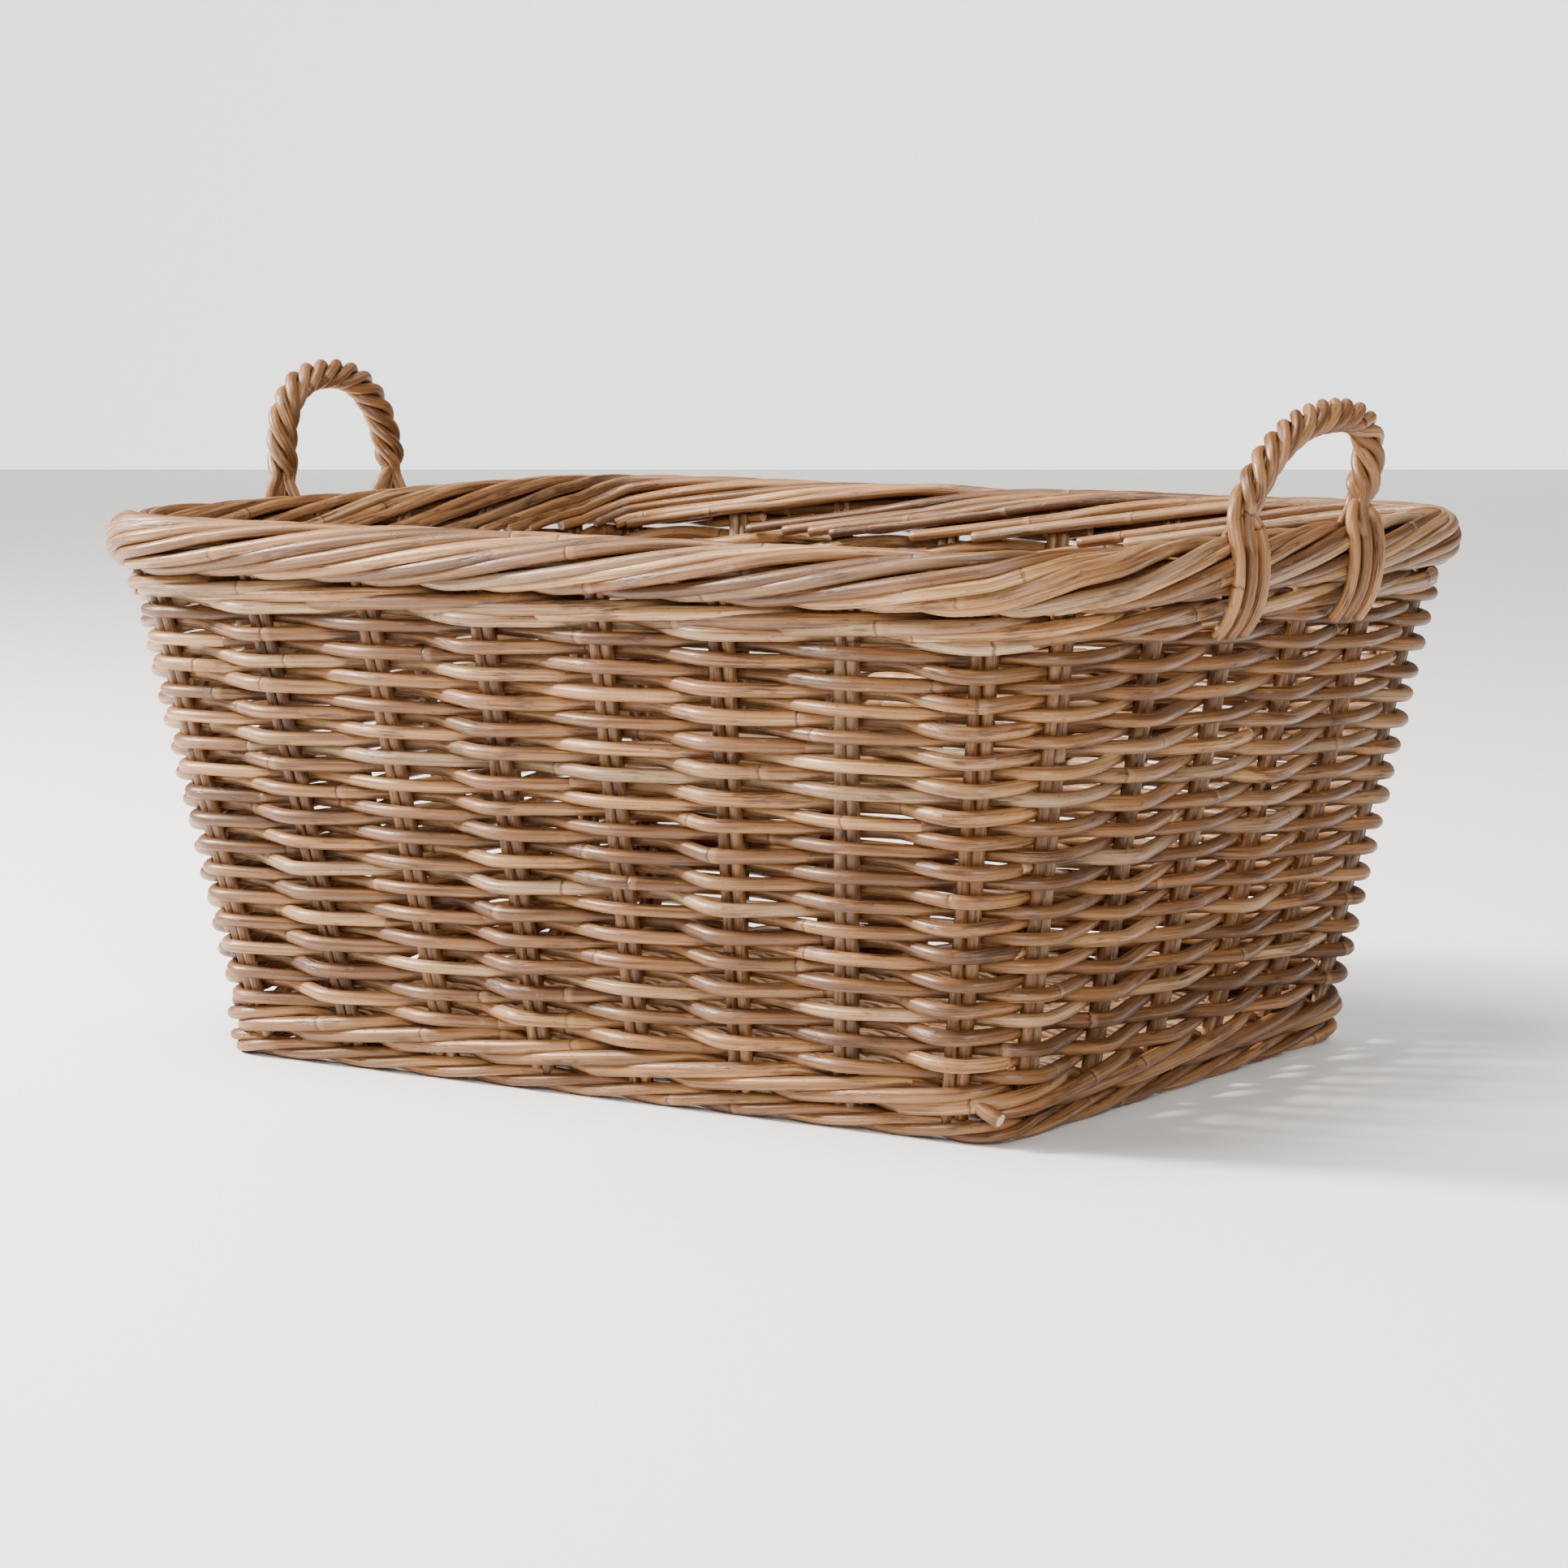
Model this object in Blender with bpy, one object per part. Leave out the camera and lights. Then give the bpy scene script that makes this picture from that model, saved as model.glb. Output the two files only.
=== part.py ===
"""Oblong laundry basket woven from rattan rods, with a roped handle on each end wall.

Metres, +Z up.  The origin is on the floor under the middle of the basket, +X runs along the
long side, and the basket stands on the flat underside of its foot border.
"""
import math

import bmesh
import bpy
from mathutils import Vector

# ---------------------------------------------------------------- driving dimensions
HEIGHT = 0.300                  # floor to the top of the border
FOOT_HALF = (0.2442, 0.1851)    # half length and half width of the line of stakes, on the floor
RIM_HALF = (0.3036, 0.2394)     # the same at the top of the border: the walls flare outwards
FOOT_CORNER = 0.0264            # corner radius of the line of stakes, on the floor
RIM_CORNER = 0.0687             # the same at the top of the border
GAP = 0.0004                    # air between pieces that touch

STAKE_ROD = 0.0064              # thickness of one stake; stakes stand in pairs, side by side
WEAVER = 0.0066                 # thickness of a woven course, through the wall
LONG_WALL_STAKES = 8            # stake pairs along a long wall
END_WALL_STAKES = 6             # stake pairs along an end wall
LONG_WALL_SPAN = (0.2196, 0.2682)   # half distance from first to last pair: floor, rim
END_WALL_SPAN = (0.1587, 0.2040)

FOOT_HEIGHT = 0.0120            # rope-twisted foot border, on the floor
FOOT_WIDTH = 0.0170
UPSETT_TOP = 0.0315             # thick waling round the bottom of the walls
UPSETT_THICKNESS = 0.0088
COURSES = 16                    # woven courses; each one stands for two rows of rods
COURSES_TOP = 0.2582
TOP_WALE_TOP = 0.2676           # thick waling under the border
TOP_WALE_THICKNESS = 0.0076
BORDER_HALF_WIDTH = 0.0150      # rolled border, as a ring on top of the stakes
BORDER_CORNER_CUT = 0.0070

BASE_BOTTOM = 0.0124            # woven base panel
BASE_TOP = 0.0205
BASE_INSET = 0.0140             # from the line of stakes to the edge of the panel
BASE_STICKS = 4                 # thick sticks across the underside of the base
BASE_STICK_RADIUS = 0.0040
BASE_STICK_PITCH = 0.1080

STRAND_RADIUS = 0.0033          # each handle is a rope of three rods
ROPE_RADIUS = 0.0050            # from the rope's centre line to the centre of a rod
ROPE_LAY = 0.0520               # length of one turn of the rope
LEG_X = 0.3280                  # centre line of a handle's legs, outside the border
LEG_BOTTOM = 0.2500             # lower ends of the legs
LEG_TOP = 0.3010                # where a leg turns inwards over the border's outer edge
LEG_BEND = 0.0100               # a leg is straight up to this far below its top
BOW_X = 0.3160                  # feet of the bow, over the border
BOW_FOOT = 0.3138
BOW_LEAN = 0.0060               # how far the top of a bow leans outwards
STRAND_POINTS = 44              # points along one rod of a handle
STRAND_NAMES = ("a", "b", "c")
BOW_STEPS = 24                  # straight pieces in a bow's centre line
CORNER_CUTS = 3                 # rounds of corner cutting that smooth a handle's centre line
SLOPE_SPAN = 0.030              # share of a handle's length over which its direction is taken
# which end, its side of the basket, half width of the bow, its rise, sideways slant of its top
HANDLES = (
    ("right", 1, 0.065, 0.045, 0.028),
    ("left", -1, 0.050, 0.057, -0.004),
)

ARC_STEPS = 6                   # straight pieces in each rounded corner of a smooth ring
HALF_PAIR = STAKE_ROD           # half width of a pair of stakes
BEND_SETBACK = 0.0022           # a weaver runs straight this far past each side of a pair
UPRIGHTS_BOTTOM = FOOT_HEIGHT + GAP
UPRIGHTS_TOP = TOP_WALE_TOP

COLOURS = {
    "stake": (0.330, 0.168, 0.078),
    "course": (0.470, 0.255, 0.130),
    "course_pale": (0.560, 0.340, 0.190),
    "wale": (0.500, 0.280, 0.145),
    "foot": (0.400, 0.215, 0.108),
    "border": (0.520, 0.305, 0.165),
    "base": (0.380, 0.205, 0.105),
    "handle": (0.500, 0.285, 0.150),
}
ROUGHNESS = 0.48


# ---------------------------------------------------------------- scene and materials
def clear_scene():
    """Remove whatever the scene holds."""
    for obj in list(bpy.data.objects):
        bpy.data.objects.remove(obj, do_unlink=True)


def make_material(name, colour):
    """A satin, unvarnished rattan in one flat colour."""
    material = bpy.data.materials.new(name)
    material.use_nodes = True
    shader = material.node_tree.nodes["Principled BSDF"]
    shader.inputs["Base Color"].default_value = (*colour, 1.0)
    shader.inputs["Roughness"].default_value = ROUGHNESS
    shader.inputs["Metallic"].default_value = 0.0
    material.diffuse_color = (*colour, 1.0)
    return material


def add_object(name, data, colour):
    """Put a mesh or a curve in the basket's collection, with a material of its own."""
    obj = bpy.data.objects.new(name, data)
    data.materials.append(make_material(name, COLOURS[colour]))
    bpy.data.collections["laundry_basket"].objects.link(obj)
    return obj


def add_bmesh(name, bm, colour, smooth=False):
    """Turn a closed bmesh into an object, with its faces pointing out."""
    if bm.calc_volume(signed=True) < 0:
        bmesh.ops.reverse_faces(bm, faces=bm.faces)
    mesh = bpy.data.meshes.new(name)
    bm.to_mesh(mesh)
    bm.free()
    if smooth:
        mesh.shade_smooth()
    return add_object(name, mesh, colour)


# ---------------------------------------------------------------- the wall's geometry
def at_height(floor_value, rim_value, z):
    """A dimension of the flared wall at height z."""
    return floor_value + (rim_value - floor_value) * z / HEIGHT


def outline_size(z):
    """Half length, half width and corner radius of the line of stakes at height z."""
    return (
        at_height(FOOT_HALF[0], RIM_HALF[0], z),
        at_height(FOOT_HALF[1], RIM_HALF[1], z),
        at_height(FOOT_CORNER, RIM_CORNER, z),
    )


def wall_point(half_along, half_across, corner, along):
    """Distance out, and outward slope, of a wall that ends in two rounded corners."""
    past = abs(along) - (half_along - corner)
    if past <= 0:
        return half_across, 0.0
    return half_across - corner + math.sqrt(corner ** 2 - past ** 2), math.copysign(past / corner, along)


def stakes_of_quarter(z):
    """Points and outward directions of the front long wall's and the right end wall's stake pairs."""
    half_x, half_y, corner = outline_size(z)
    stations = []
    for count, span, end_wall in (
        (LONG_WALL_STAKES, LONG_WALL_SPAN, False),
        (END_WALL_STAKES, END_WALL_SPAN, True),
    ):
        reach = at_height(*span, z)
        for index in range(count):
            along = reach * (2 * index / (count - 1) - 1)
            if end_wall:
                out, slope = wall_point(half_y, half_x, corner, along)
                stations.append((Vector((out, along)), Vector((math.sqrt(1 - slope ** 2), slope))))
            else:
                out, slope = wall_point(half_x, half_y, corner, along)
                stations.append((Vector((along, -out)), Vector((slope, -math.sqrt(1 - slope ** 2)))))
    return stations


def stake_stations(z):
    """Every stake pair in turn, anticlockwise from the front left corner: point, outward direction."""
    half = stakes_of_quarter(z)
    return half + [(-point, -direction) for point, direction in half]


def stake_lines():
    """Floor point, rim point and one outward direction for every stake pair."""
    lines = []
    for floor, middle, rim in zip(stake_stations(0), stake_stations(HEIGHT / 2), stake_stations(HEIGHT)):
        lines.append((floor[0], rim[0], middle[1]))
    return lines


def on_line(line, z, outwards=0.0, sideways=0.0):
    """A point beside a stake line at height z."""
    floor, rim, direction = line
    point = floor + (rim - floor) * (z / HEIGHT) + direction * outwards
    point += Vector((-direction.y, direction.x)) * sideways
    return Vector((point.x, point.y, z))


def smooth_outline(z, outwards):
    """Corner-rounded outline at height z, moved outwards: a ring of points."""
    half_x, half_y, corner = outline_size(z)
    radius = corner + outwards
    points = []
    for quarter in range(4):
        side_x = 1 if quarter in (0, 3) else -1
        side_y = 1 if quarter in (0, 1) else -1
        for step in range(ARC_STEPS + 1):
            angle = math.radians(90 * (quarter + step / ARC_STEPS))
            points.append(Vector((
                side_x * (half_x - corner) + radius * math.cos(angle),
                side_y * (half_y - corner) + radius * math.sin(angle),
                z,
            )))
    return points


# ---------------------------------------------------------------- makers
def ring_from_loops(name, loops, colour, smooth=False):
    """Closed ring whose section's corners each run round one of the loops of points."""
    bm = bmesh.new()
    rings = [[bm.verts.new(point) for point in loop] for loop in loops]
    for ring, following in zip(rings, rings[1:] + rings[:1]):
        for index in range(len(ring)):
            after = (index + 1) % len(ring)
            bm.faces.new((ring[index], ring[after], following[after], following[index]))
    return add_bmesh(name, bm, colour, smooth)


def woven_ring(name, lines, bottom, top, thickness, first_side, colour):
    """A course that passes in front of one stake pair and behind the next, all the way round."""
    offset = STAKE_ROD / 2 + GAP + thickness / 2
    bend = HALF_PAIR + BEND_SETBACK
    loops = []
    for z, skin in ((bottom, -0.5), (bottom, 0.5), (top, 0.5), (top, -0.5)):
        loop = []
        for index, line in enumerate(lines):
            side = first_side if index % 2 == 0 else -first_side
            for sideways in (-bend, bend):
                loop.append(on_line(line, z, side * offset + skin * thickness, sideways))
        loops.append(loop)
    return ring_from_loops(name, loops, colour)


def make_stake_pair(name, line):
    """Two stakes side by side, as one eight-sided bar from the foot border to the rolled border."""
    bm = bmesh.new()
    bmesh.ops.create_cone(bm, cap_ends=True, segments=8, radius1=1.0, radius2=1.0, depth=1.0)
    turn = math.pi / 8
    for vert in bm.verts:
        across = math.cos(turn) * vert.co.x - math.sin(turn) * vert.co.y
        through = math.sin(turn) * vert.co.x + math.cos(turn) * vert.co.y
        z = UPRIGHTS_BOTTOM if vert.co.z < 0 else UPRIGHTS_TOP
        vert.co = on_line(line, z, through * STAKE_ROD / 2, across * HALF_PAIR)
    return add_bmesh(name, bm, "stake")


def make_foot_border():
    """Foot border: a ring with an upright outer side and a flat underside."""
    half = FOOT_WIDTH / 2
    inner = smooth_outline(0, -half)
    outer = smooth_outline(0, half)
    lift = Vector((0, 0, FOOT_HEIGHT))
    loops = (inner, outer, [point + lift for point in outer], [point + lift for point in inner])
    return ring_from_loops("foot_border", loops, "foot")


def make_rolled_border():
    """Rolled border: a ring of eight-sided section on top of the stakes."""
    bottom = TOP_WALE_TOP + GAP
    middle = (bottom + HEIGHT) / 2
    half_height = (HEIGHT - bottom) / 2
    flat_x = BORDER_HALF_WIDTH - BORDER_CORNER_CUT
    flat_z = half_height - BORDER_CORNER_CUT
    section = (
        (BORDER_HALF_WIDTH, -flat_z), (BORDER_HALF_WIDTH, flat_z),
        (flat_x, half_height), (-flat_x, half_height),
        (-BORDER_HALF_WIDTH, flat_z), (-BORDER_HALF_WIDTH, -flat_z),
        (-flat_x, -half_height), (flat_x, -half_height),
    )
    loops = []
    for outwards, rise in section:
        loop = smooth_outline(HEIGHT, outwards)
        loops.append([Vector((point.x, point.y, middle + rise)) for point in loop])
    return ring_from_loops("rolled_border", loops, "border", smooth=True)


def make_base_panel():
    """Woven base, as one flat panel inside the foot of the walls."""
    bm = bmesh.new()
    outline = smooth_outline(0, -BASE_INSET)
    face = bm.faces.new([bm.verts.new((point.x, point.y, BASE_BOTTOM)) for point in outline])
    grown = bmesh.ops.extrude_face_region(bm, geom=[face])
    top = [item for item in grown["geom"] if isinstance(item, bmesh.types.BMVert)]
    bmesh.ops.translate(bm, verts=top, vec=(0, 0, BASE_TOP - BASE_BOTTOM))
    return add_bmesh("base_panel", bm, "base")


def make_base_stick(index):
    """One thick stick across the underside of the base, inside the foot border."""
    reach = FOOT_HALF[1] - FOOT_WIDTH / 2 - GAP
    bpy.ops.mesh.primitive_cylinder_add(vertices=10, radius=BASE_STICK_RADIUS, depth=2 * reach)
    stick = bpy.context.object
    stick.name = f"base_stick_{index + 1}"
    stick.data.name = stick.name
    stick.rotation_euler.x = math.pi / 2
    stick.location = (
        BASE_STICK_PITCH * (index - (BASE_STICKS - 1) / 2),
        0,
        BASE_BOTTOM - GAP - BASE_STICK_RADIUS,
    )
    stick.data.materials.append(make_material(stick.name, COLOURS["base"]))
    for holder in list(stick.users_collection):
        holder.objects.unlink(stick)
    bpy.data.collections["laundry_basket"].objects.link(stick)
    return stick


# ---------------------------------------------------------------- handles
def handle_line(side, half_width, rise, slant):
    """Points on a handle's centre line: up one leg, over the bow and down the other leg."""
    points = []
    for end in (-1, 1):
        leg = [
            Vector((side * LEG_X, end * half_width, LEG_BOTTOM)),
            Vector((side * LEG_X, end * half_width, LEG_TOP - LEG_BEND)),
            Vector((side * LEG_X, end * half_width, LEG_TOP)),
        ]
        points.append(leg if end < 0 else leg[::-1])
    bow = []
    for step in range(BOW_STEPS + 1):
        angle = math.pi * step / BOW_STEPS
        lift = math.sin(angle)
        bow.append(Vector((
            side * (BOW_X + BOW_LEAN * lift),
            slant * lift - half_width * math.cos(angle),
            BOW_FOOT + rise * lift,
        )))
    return rounded_off(points[0] + bow + points[1])


def rounded_off(points):
    """The line with its corners cut off a few times over, between the same two ends."""
    for _ in range(CORNER_CUTS):
        cut = [points[0]]
        for before, after in zip(points, points[1:]):
            cut += [before.lerp(after, 0.25), before.lerp(after, 0.75)]
        points = cut + [points[-1]]
    return points


def point_along(line, share):
    """The point at a share of a line's length."""
    lengths = [(after - before).length for before, after in zip(line, line[1:])]
    left = share * sum(lengths)
    for before, after, length in zip(line, line[1:], lengths):
        if left <= length:
            return before.lerp(after, left / length)
        left -= length
    return line[-1]


def make_handle_strand(name, side, line, phase):
    """One rod of a roped handle, winding round the handle's centre line."""
    length = sum((after - before).length for before, after in zip(line, line[1:]))
    curve = bpy.data.curves.new(name, "CURVE")
    curve.dimensions = "3D"
    curve.bevel_depth = STRAND_RADIUS
    curve.bevel_resolution = 1
    curve.use_fill_caps = True
    spline = curve.splines.new("POLY")
    spline.points.add(STRAND_POINTS - 1)
    for index, point in enumerate(spline.points):
        share = index / (STRAND_POINTS - 1)
        ahead = point_along(line, min(share + SLOPE_SPAN, 1.0))
        behind = point_along(line, max(share - SLOPE_SPAN, 0.0))
        along = (ahead - behind).normalized()
        across = Vector((side, 0, 0))
        across = (across - along * across.dot(along)).normalized()
        third = along.cross(across)
        angle = phase - 2 * math.pi * share * length / ROPE_LAY
        centre = (ahead + behind) / 2
        place = centre + (across * math.cos(angle) + third * math.sin(angle)) * ROPE_RADIUS
        point.co = (*place, 1.0)
    return add_object(name, curve, "handle")


def make_handles():
    """Three rods for each handle, a third of a turn apart."""
    for end_name, side, *shape in HANDLES:
        line = handle_line(side, *shape)
        for index, letter in enumerate(STRAND_NAMES):
            phase = 2 * math.pi * index / len(STRAND_NAMES)
            make_handle_strand(f"handle_{end_name}_rod_{letter}", side, line, phase)


# ---------------------------------------------------------------- the basket
def make_walls():
    """Stake pairs, and the courses woven round them."""
    lines = stake_lines()
    for index, line in enumerate(lines):
        make_stake_pair(f"stake_pair_{index + 1:02d}", line)
    woven_ring("upsett_wale", lines, UPRIGHTS_BOTTOM, UPSETT_TOP, UPSETT_THICKNESS, -1, "wale")
    pitch = (COURSES_TOP - UPSETT_TOP) / COURSES
    for index in range(COURSES):
        bottom = UPSETT_TOP + index * pitch + GAP
        side = 1 if index % 2 == 0 else -1
        colour = "course" if index % 2 == 0 else "course_pale"
        woven_ring(f"weave_course_{index + 1:02d}", lines, bottom, bottom + pitch - GAP, WEAVER, side, colour)
    woven_ring("top_wale", lines, COURSES_TOP + GAP, TOP_WALE_TOP, TOP_WALE_THICKNESS, 1, "wale")


def main():
    """Build every sub-part."""
    clear_scene()
    bpy.context.scene.collection.children.link(bpy.data.collections.new("laundry_basket"))
    make_walls()
    make_foot_border()
    make_rolled_border()
    make_base_panel()
    for index in range(BASE_STICKS):
        make_base_stick(index)
    make_handles()


main()
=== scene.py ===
"""Look of the oblong woven laundry basket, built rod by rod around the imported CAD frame.

Metres, +Z up.  Every rod is a tube that follows a path through the weave; its skin carries
length and girth coordinates, so fibres, nodes and wear are procedural and at true scale.
"""

import math

import bpy
import numpy as np
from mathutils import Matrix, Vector


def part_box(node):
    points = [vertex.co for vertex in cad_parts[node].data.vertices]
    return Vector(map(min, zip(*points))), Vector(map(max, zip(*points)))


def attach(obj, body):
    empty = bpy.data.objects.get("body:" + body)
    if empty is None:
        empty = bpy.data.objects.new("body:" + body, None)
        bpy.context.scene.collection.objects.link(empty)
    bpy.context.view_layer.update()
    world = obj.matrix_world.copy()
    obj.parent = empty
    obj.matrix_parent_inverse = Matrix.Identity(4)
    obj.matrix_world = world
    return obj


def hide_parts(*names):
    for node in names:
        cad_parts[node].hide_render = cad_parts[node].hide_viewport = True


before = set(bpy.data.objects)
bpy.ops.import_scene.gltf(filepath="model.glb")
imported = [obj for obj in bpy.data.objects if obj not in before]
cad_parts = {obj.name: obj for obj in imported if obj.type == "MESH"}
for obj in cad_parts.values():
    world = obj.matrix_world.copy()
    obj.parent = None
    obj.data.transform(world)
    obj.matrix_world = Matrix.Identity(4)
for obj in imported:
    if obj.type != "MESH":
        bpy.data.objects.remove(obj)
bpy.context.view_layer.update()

# ---------------------------------------------------------------- sizes of the weave
SEED = 20
STATIONS = 28                   # pairs of stakes round the basket
CORNER_TURNS = (7.5, 13.5, 21.5, 27.5)      # where its corners are, counted in pairs of stakes
FOOT_CORNER = 0.0264            # corner radius of the line of stakes, on the floor
RIM_CORNER = 0.0687             # the same at the top of the border
FINE = 48                       # wall samples between two pairs of stakes

# Every rod
SIDES = 12                      # corners in a rod's section
STEP = 0.0042                   # distance between two sections
NODE_GAPS = (0.19, 0.42)        # least and most distance between two nodes of a rod
NODE_SWELL, NODE_LENGTH = 0.045, 0.0032
UNEVEN, UNEVEN_RUN = 0.022, 0.07            # share by which the girth wavers, and over what length
WANDER_RUNS = (0.045, 0.060)    # lengths over which a rod strays sideways
OVAL = 0.035                    # share by which a section is out of round
CUT_BEVEL = 0.0005              # a cut end's rounded edge
NO_NODE = 0.05                  # distance that says a point is nowhere near a node

# Stakes
STAKE_RADIUS = 0.0035
STAKE_SPREAD = 0.0036           # each stake of a pair stands this far to one side
STAKE_FEET = (0.0095, 0.0130)   # least and most height of a stake's lower end
STAKE_TOP = 0.288
HALF_WAY_UP = 0.15
STAKE_BEND, STAKE_BEND_RUN = 0.0004, 0.05

# Rows
ROW_SWING = 0.0080              # how far a weaver swings in and out of the line of stakes
# For stiff and for soft rows: rod radius, then how far out and how many millimetres low a rod is
# at steps of its way from behind one stake pair (-1), over the next (0), to behind the one after.
MILLIMETRE = 0.001
WAVE_STEPS = (-1.00, -0.60, -0.13, 0.00, 0.10, 0.55, 1.00)
STIFF = (
    0.00385,
    (-1.00, -0.72, 1.06, 1.08, 0.98, 0.10, -1.00),
    (-0.2, -0.3, 2.0, 2.2, 2.0, 0.7, -0.2),
)
SOFT = (
    0.00352,
    (-1.00, -0.42, 0.86, 1.00, 0.96, 0.16, -1.00),
    (0.0, 0.1, 0.3, 0.4, 0.3, 0.1, 0.0),
)
COURSES = 16
ROWS_IN_COURSE = ((0, SOFT, 0.22), (1, STIFF, 0.78))    # first stake in front, kind, share of height
ROW_ENDS = (0.38, 0.40)         # how far a rod runs past the stakes it starts and ends at
ROW_PITCH = 0.068               # about the distance between two pairs of stakes
ROW_TUCK = 0.0062               # how far behind the next rod a rod's end is tucked
SWING_WAVER, DROP_WAVER = 0.07, 0.5
HEIGHT_WAVERS = ((0.00055, 0.20), (0.0004, 0.07))       # sizes and lengths of its rise and fall
WAVE_SAMPLES = 400
WAVE_BLUR, WAVE_BLUR_REACH = 9.0, 30

# Waling, lower and upper: the heights it rises between, rod radius, how far it stands out in front
# of the line of stakes and behind it, and in how many lengths it goes round three times.
UPSETT = (0.0152, 0.0285, 0.0039, 0.0074, 0.0070, 7)
TOP_WALE = (0.2570, 0.2655, 0.0039 * 1.02, 0.0076, 0.0068, 6)
WALE_ENDS = 0.4                 # how far a rod runs past its last stakes, in pairs of stakes
WALE_PITCH = 0.065
WALE_TUCK = 0.004
WALE_FULLNESS = 0.55            # the lower, the fuller its bends
# A cut end that pokes out under the lower wale at the front right corner: turns, heights and
# distances out of the line of stakes of its two ends.
LOOSE_END = (7.12, 7.47, 0.0270, 0.0150, -0.0060, 0.0185)

# Foot
FOOT_RADIUS = 0.0031
FOOT_STRANDS = 3
FOOT_TWIST = 0.0035             # from the middle of the foot's twist to the middle of a rod
FOOT_LAY = 0.150                # length of one turn of the twist
FOOT_OUT = 0.0010               # how far outside the line of stakes the twist runs
FOOT_PUSH, FOOT_PUSH_RUN = 0.0050, 0.34     # how far and over how many turns a corner is pulled out
FOOT_LIFT = 0.0004              # keeps the swollen nodes of the foot's rods on the floor

# Border
BORDER_RADIUS = 0.0035
TWIN_STEP = 0.25                # share of a pair of stakes between its two border rods
BORDER_REACH = 5.8              # pairs of stakes that one border rod passes
BORDER_REACH_SPREAD = (-0.35, 0.45)
BORDER_TURN = (-112, 290)       # where round the border a rod starts, and how far it goes, in degrees
BORDER_EASE = 0.95
BORDER_START, BORDER_DEPTH = 0.10, 0.35     # share of a rod that rises from the middle, how deep
TAIL_START = 0.78               # share of a border rod after which it runs down inside
TAIL_FALL = 0.014
TAIL_SINK = 0.0080
BORDER_CORE = 0.0060            # radius of the filling, whose dark tone is painted shade in the gaps of the roll
# One fixed dark tone for the cores of the border and the handles: painted shade, seen in the gaps between
# their rods
SHADE_CORE_TONE = (0.1, 0.3, 0.5)

# Base
BASE_REACH = np.array([0.0055, 0.0055, 0.0])    # the woven base's ends run on under the walls
BASE_CORNER, BASE_GAP = 0.014, 0.0005
BASE_WARPS, WARP_RADIUS, WARP_INSET = 19, 0.0017, 0.010
WEFT_RADIUS, WEFT_PITCH, WEFT_SWING = 0.0021, 0.0046, 0.0026
BASE_BARS = 4
THIN_SIDES = 8

# Handles: a rope of four rods.  At each foot three go down outside the border, one inside it.
HANDLE_RADIUS = 0.0033
HANDLE_STRANDS = 4
HANDLE_LAY = 0.054              # length of one turn of the rope
ROPE_RADIUS = 0.0058            # from the rope's middle to the middle of a rod
CORE_RADIUS = 0.0030
BOW_SQUARENESS = 0.82
BOW_POINTS = 161
BOW_IN, BOW_RISE = 0.0035, 0.010            # a bow's feet, from the border's outside and top
BOW_LEAN = 0.005
LEG_SPACING = 0.0098            # between the rods of a handle's leg, along the wall
LEG_FAN = 0.0022                # and out of the wall
LEG_POINTS = 60
LEG_SHARE = 0.3                 # a leg's length on the scale where the bow's is 1
ROPE_PARTS = (0.06, 0.11)       # how far below the bow the rods part, and over what length
LEG_SIDES = (0.0, 1.0, 0.0, -1.0)           # which side of its leg the rod of each place takes
INSIDE_PLACE = 2                # the place round the rope whose rod goes down inside
# Ways down from a foot of the bow: distance outwards, then height.
LEG_OUTSIDE = np.array([[0.0035, -0.008], [0.0062, -0.020], [0.0060, -0.034], [0.0036, -0.045],
                        [-0.0008, -0.0545], [-0.0062, -0.0610]])
LEG_INSIDE = np.array([[-0.0050, -0.006], [-0.0090, -0.014], [-0.0120, -0.026], [-0.0120, -0.040]])


# ---------------------------------------------------------------- reading the frame
def node_points(name):
    """Every different vertex of a CAD node."""
    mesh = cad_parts[name].data
    flat = np.empty(len(mesh.vertices) * 3, np.float32)
    mesh.vertices.foreach_get("co", flat)
    return np.unique(flat.reshape(-1, 3).round(5), axis=0).astype(float)


def box(name):
    """The low and high corner of a CAD node."""
    low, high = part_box(name)
    return np.array(low), np.array(high)


RIM_Z = box("rolled_border")[1][2]
FOOT_BOX = box("foot_border")
BORDER_BOX = box("rolled_border")
FOOT_HALF_WIDTH = 0.0085        # half the width of the CAD foot ring
BORDER_HALF_WIDTH = 0.0150      # half the width of the CAD border ring
BOW_X = BORDER_BOX[1][0] - BOW_IN
BOW_Z = RIM_Z + BOW_RISE
LEGS_BELOW, BOW_TOP = 0.285, 0.002          # below this a handle is all legs; depth of its top


def run_along(path):
    """The distance travelled at each point of a path."""
    return np.concatenate([[0], np.cumsum(np.linalg.norm(np.diff(path, axis=0), axis=1))])


def read_stake(index):
    """A stake pair's centre line, carried on to the floor and to the rim."""
    points = node_points(f"stake_pair_{index + 1:02d}")
    middle = points[:, 2].mean()
    low = points[points[:, 2] < middle].mean(0)
    high = points[points[:, 2] > middle].mean(0)
    slope = (high - low) / (high[2] - low[2])
    return low - slope * low[2], low + slope * (RIM_Z - low[2])


def rounded_outline(half, corner, count=6000):
    """Dense anticlockwise rounded rectangle, from its front left."""
    corners = []
    for quarter in range(4):
        sx = (1, 1, -1, -1)[quarter]
        sy = (-1, 1, 1, -1)[quarter]
        angle = np.radians(np.linspace(-90, 0, 200) + 90 * quarter)
        centre = np.array([sx * (half[0] - corner), sy * (half[1] - corner)])
        corners.append(centre + corner * np.stack([np.cos(angle), np.sin(angle)], 1))
    points = np.concatenate([[[-(half[0] - corner), -half[1]]]] + corners)
    points = np.concatenate([points, points[:1]])
    run = run_along(points)
    where = np.linspace(0, run[-1], count, endpoint=False)
    return np.stack([np.interp(where, run, points[:, axis]) for axis in (0, 1)], 1)


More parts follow.
